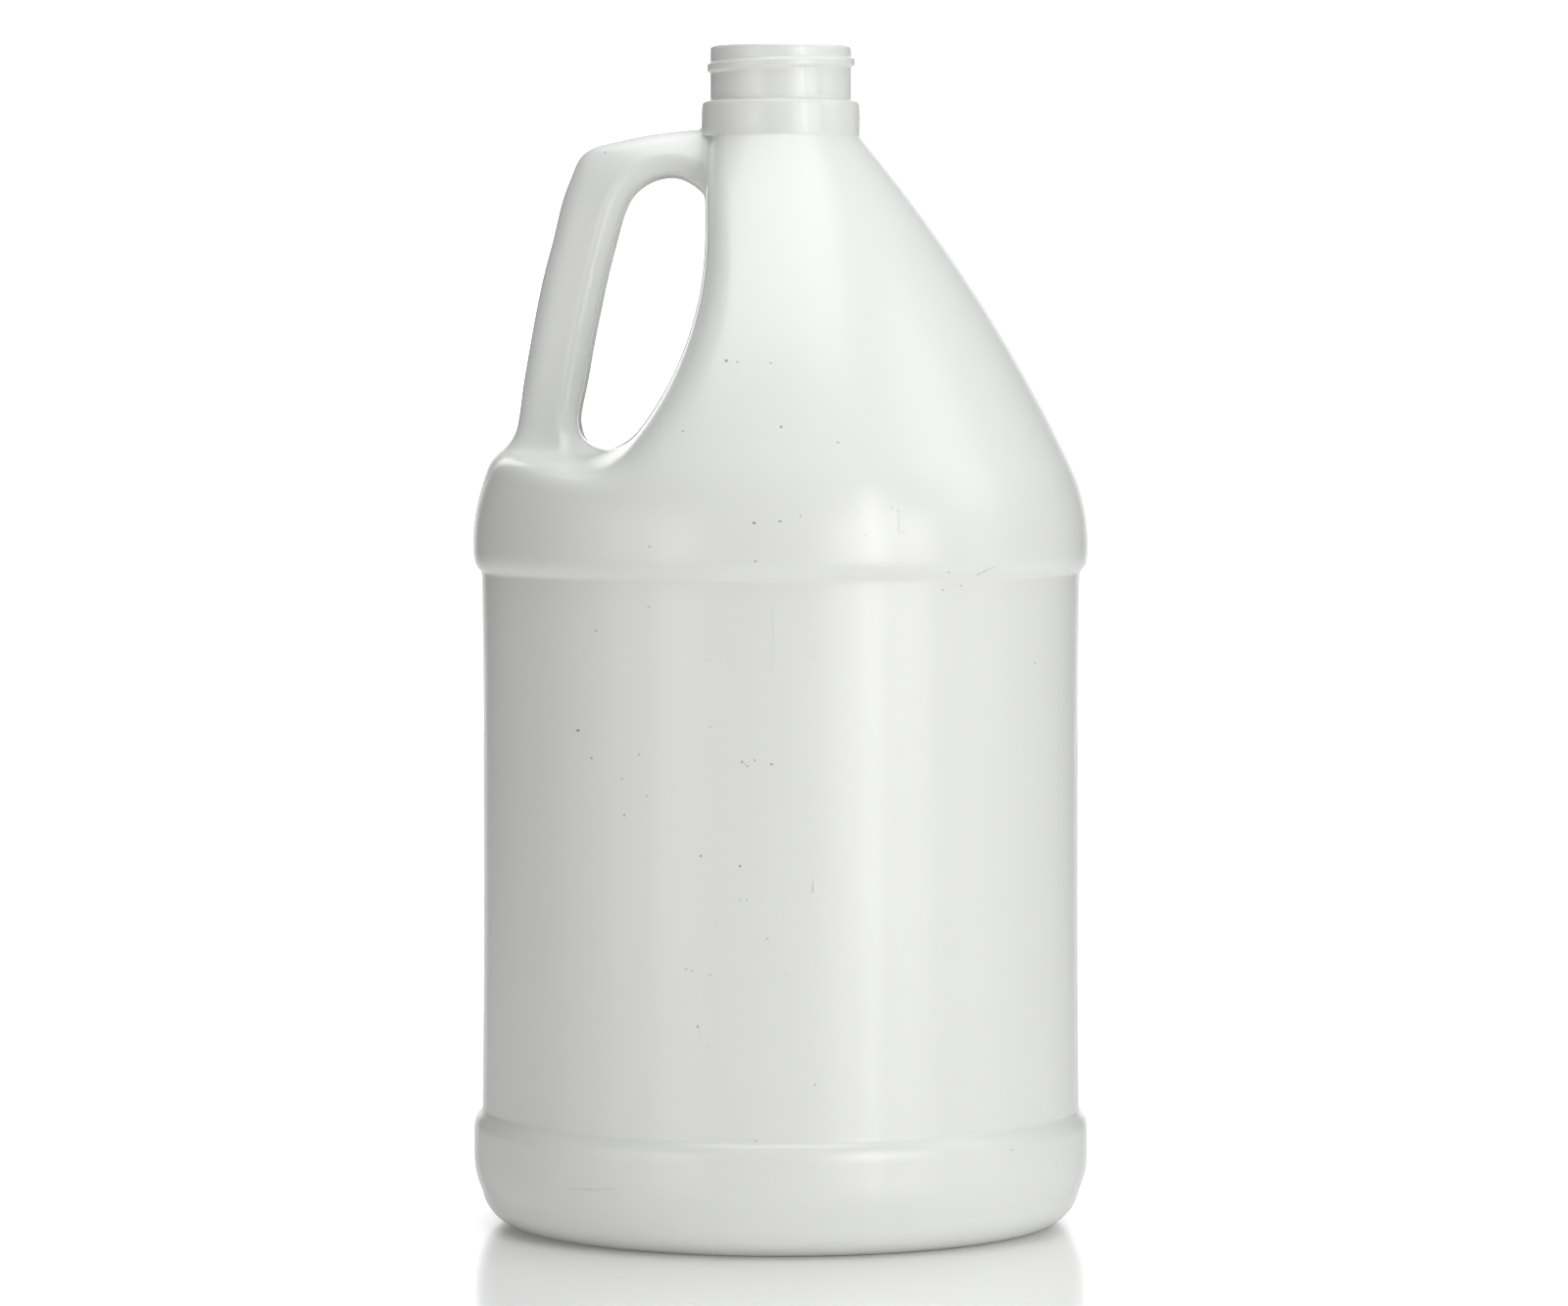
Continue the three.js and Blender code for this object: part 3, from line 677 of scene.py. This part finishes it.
def add_scratch(course, half_width, random, vertices, faces):
    """A closed flat sliver along a course, of uneven width, whose rim lies on the surface."""
    corners = np.array(course, dtype=float)
    at = np.concatenate([[0.0], np.cumsum(np.hypot(*np.diff(corners, axis=0).T))])
    t = np.linspace(0.0, at[-1], max(int(at[-1] / SCRATCH_STEP), 4) + 1)
    middle = np.column_stack([np.interp(t, at, corners[:, axis]) for axis in (0, 1)])
    along = np.gradient(middle, axis=0)
    across = np.column_stack([-along[:, 1], along[:, 0]]) / np.hypot(*along.T)[:, None]
    wide = half_width * random.uniform(*SCRATCH_REACH, len(t))
    wide[[0, -1]] = SCRATCH_TIP
    left, right = middle + across * wide[:, None], middle - across * wide[:, None]
    count = len(t)
    points, out = on_front(*np.concatenate([left, middle, right]).T)
    hub, hub_out = points[count:2 * count], out[count:2 * count]
    first = len(vertices)
    rings = [points[:count], hub + hub_out * MARK_PROUD, points[2 * count:], hub - hub_out * MARK_SUNK]
    vertices += list(np.concatenate(rings))
    for i in range(count - 1):
        for side in range(4):
            a, b = first + side * count + i, first + (side + 1) % 4 * count + i
            faces += [(a, b, b + 1), (a, b + 1, a + 1)]
    for end, turn in ((0, 1), (count - 1, -1)):
        a, b, c, d = [first + side * count + end for side in (0, 1, 2, 3)][::turn]
        faces += [(a, c, b), (a, d, c)]


def add_marks():
    """The specks and scratches, as one mesh."""
    random = np.random.default_rng(MARK_SEED)
    vertices, faces, tones = [], [], []
    for x, z, half_width, half_height, tone in SPECKS:
        turns = np.arange(MARK_SIDES) + random.uniform(-SPECK_TURN, SPECK_TURN, MARK_SIDES)
        angles = 2 * math.pi * turns / MARK_SIDES
        reach = random.uniform(*SPECK_REACH, MARK_SIDES)
        add_lens(
            x + half_width * reach * np.cos(angles), z + half_height * reach * np.sin(angles), x, z,
            vertices, faces)
        tones += [tone] * (len(faces) - len(tones))
    for half_width, tone, course in SCRATCHES:
        add_scratch(course, half_width, random, vertices, faces)
        tones += [tone] * (len(faces) - len(tones))
    marks = make_mesh("jug_marks", np.array(vertices), np.array(faces))
    for i, color in enumerate(MARK_TONES):
        marks.data.materials.append(plain_material("mark_%d" % i, color, MARK_ROUGHNESS))
    marks.data.polygons.foreach_set("material_index", tones)
    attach(marks, "root")


def plain_material(name, color, roughness, glow=0.0):
    material = bpy.data.materials.new(name)
    material.use_nodes = True
    shader = material.node_tree.nodes["Principled BSDF"]
    shader.inputs["Base Color"].default_value = (*color, 1.0)
    shader.inputs["Roughness"].default_value = roughness
    shader.inputs["Emission Color"].default_value = (1.0, 1.0, 1.0, 1.0)
    shader.inputs["Emission Strength"].default_value = glow
    return material


def add_node(tree, kind, settings, **links):
    """A node with values on its sockets, and sockets fed by other nodes' outputs."""
    node = tree.nodes.new(kind)
    for name, value in settings.items():
        node.inputs[name].default_value = value
    for name, output in links.items():
        tree.links.new(output, node.inputs[name.replace("_", " ")])
    return node


def plastic_material():
    """White polyethylene: low gloss, with die lines up the wall, a soft ripple and a fine grain."""
    material = bpy.data.materials.new("white_polyethylene")
    material.use_nodes = True
    tree = material.node_tree
    shader = tree.nodes["Principled BSDF"]
    place = tree.nodes.new("ShaderNodeTexCoord").outputs["Object"]
    stretched = add_node(tree, "ShaderNodeVectorMath", {1: DIE_LINE_SCALE})
    stretched.operation = "MULTIPLY"
    tree.links.new(place, stretched.inputs[0])
    lines = add_node(
        tree, "ShaderNodeTexNoise", {"Scale": 1.0, "Detail": 2.0}, Vector=stretched.outputs["Vector"])
    ripple = add_node(tree, "ShaderNodeTexNoise", {"Scale": RIPPLE_SCALE, "Detail": 1.0}, Vector=place)
    grain = add_node(tree, "ShaderNodeTexNoise", {"Scale": GRAIN_SCALE, "Detail": 3.0}, Vector=place)
    bent = add_node(
        tree, "ShaderNodeBump", {"Strength": 1.0, "Distance": RIPPLE_DEPTH}, Height=ripple.outputs["Fac"])
    lined = add_node(
        tree, "ShaderNodeBump", {"Strength": 1.0, "Distance": DIE_LINE_DEPTH},
        Height=lines.outputs["Fac"], Normal=bent.outputs["Normal"])
    grained = add_node(
        tree, "ShaderNodeBump", {"Strength": 1.0, "Distance": GRAIN_DEPTH},
        Height=grain.outputs["Fac"], Normal=lined.outputs["Normal"])
    tree.links.new(grained.outputs["Normal"], shader.inputs["Normal"])
    shader.inputs["Base Color"].default_value = PLASTIC_COLOR
    low, high = PLASTIC_ROUGHNESS
    roughness = add_node(
        tree, "ShaderNodeMapRange", {"To Min": low, "To Max": high}, Value=ripple.outputs["Fac"])
    tree.links.new(roughness.outputs["Result"], shader.inputs["Roughness"])
    return material


jug.data.materials.clear()
jug.data.materials.append(plastic_material())
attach(jug, "root")
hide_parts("jug")
add_marks()


def add_sheet(name, profile, half, material):
    """A sheet across the view along a profile of (y, z)."""
    points = [(x, y, z) for y, z in profile for x in (-half, half)]
    faces = [(2 * i, 2 * i + 1, 2 * i + 3, 2 * i + 2) for i in range(len(profile) - 1)]
    mesh = bpy.data.meshes.new(name)
    mesh.from_pydata(points, [], faces)
    mesh.materials.append(material)
    mesh.shade_smooth()
    sheet = bpy.data.objects.new(name, mesh)
    bpy.context.collection.objects.link(sheet)


def add_stage():
    """A slightly glossy white floor in front of a bright white backdrop."""
    floor = plain_material("white_floor", FLOOR_COLOR, FLOOR_ROUGHNESS, FLOOR_GLOW)
    add_sheet("floor", [(FLOOR_FRONT, 0.0), (FLOOR_BACK, 0.0)], FLOOR_HALF_WIDTH, floor)
    angles = [math.pi / 2 * i / 10 for i in range(11)]
    profile = [
        (FLOOR_BACK + BACKDROP_BEND * math.sin(a), BACKDROP_BEND * (1 - math.cos(a))) for a in angles]
    profile.append((FLOOR_BACK + BACKDROP_BEND, BACKDROP_TOP))
    backdrop = plain_material("white_backdrop", BACKDROP_COLOR, BACKDROP_ROUGHNESS, BACKDROP_GLOW)
    add_sheet("backdrop", profile, BACKDROP_HALF_WIDTH, backdrop)


def add_light(name, azimuth, elevation, distance, width, height, power, color):
    """A softbox aimed at the jug's middle. Azimuth is from the camera's side towards +X."""
    lamp = bpy.data.lights.new(name, "AREA")
    lamp.shape = "RECTANGLE"
    lamp.size, lamp.size_y = width, height
    lamp.energy = power
    lamp.color = color
    light = bpy.data.objects.new(name, lamp)
    bpy.context.collection.objects.link(light)
    a, e = math.radians(azimuth), math.radians(elevation)
    away = Vector((math.sin(a) * math.cos(e), -math.cos(a) * math.cos(e), math.sin(e)))
    light.location = Vector(LIGHTS_TARGET) + away * distance
    light.rotation_euler = away.to_track_quat("Z", "Y").to_euler()


def add_camera():
    lens = bpy.data.cameras.new("camera")
    lens.sensor_width = SENSOR_WIDTH
    lens.lens = FOCAL_LENGTH
    lens.clip_start, lens.clip_end = CLIP_RANGE
    camera = bpy.data.objects.new("camera", lens)
    bpy.context.collection.objects.link(camera)
    camera.location = CAMERA_PLACE
    camera.rotation_euler = (math.radians(90 - CAMERA_DIP), 0.0, 0.0)
    bpy.context.scene.camera = camera


def add_world():
    """A white surround that the camera sees and that lights nothing."""
    world = bpy.data.worlds.new("studio")
    world.use_nodes = True
    background = world.node_tree.nodes["Background"]
    background.inputs["Color"].default_value = (1.0, 1.0, 1.0, 1.0)
    background.inputs["Strength"].default_value = 1.0
    world.cycles_visibility.diffuse = False
    world.cycles_visibility.glossy = False
    world.cycles_visibility.transmission = False
    bpy.context.scene.world = world


add_stage()
for softbox in LIGHTS:
    add_light(*softbox)
add_camera()
add_world()
bpy.context.scene.view_settings.view_transform = "Standard"
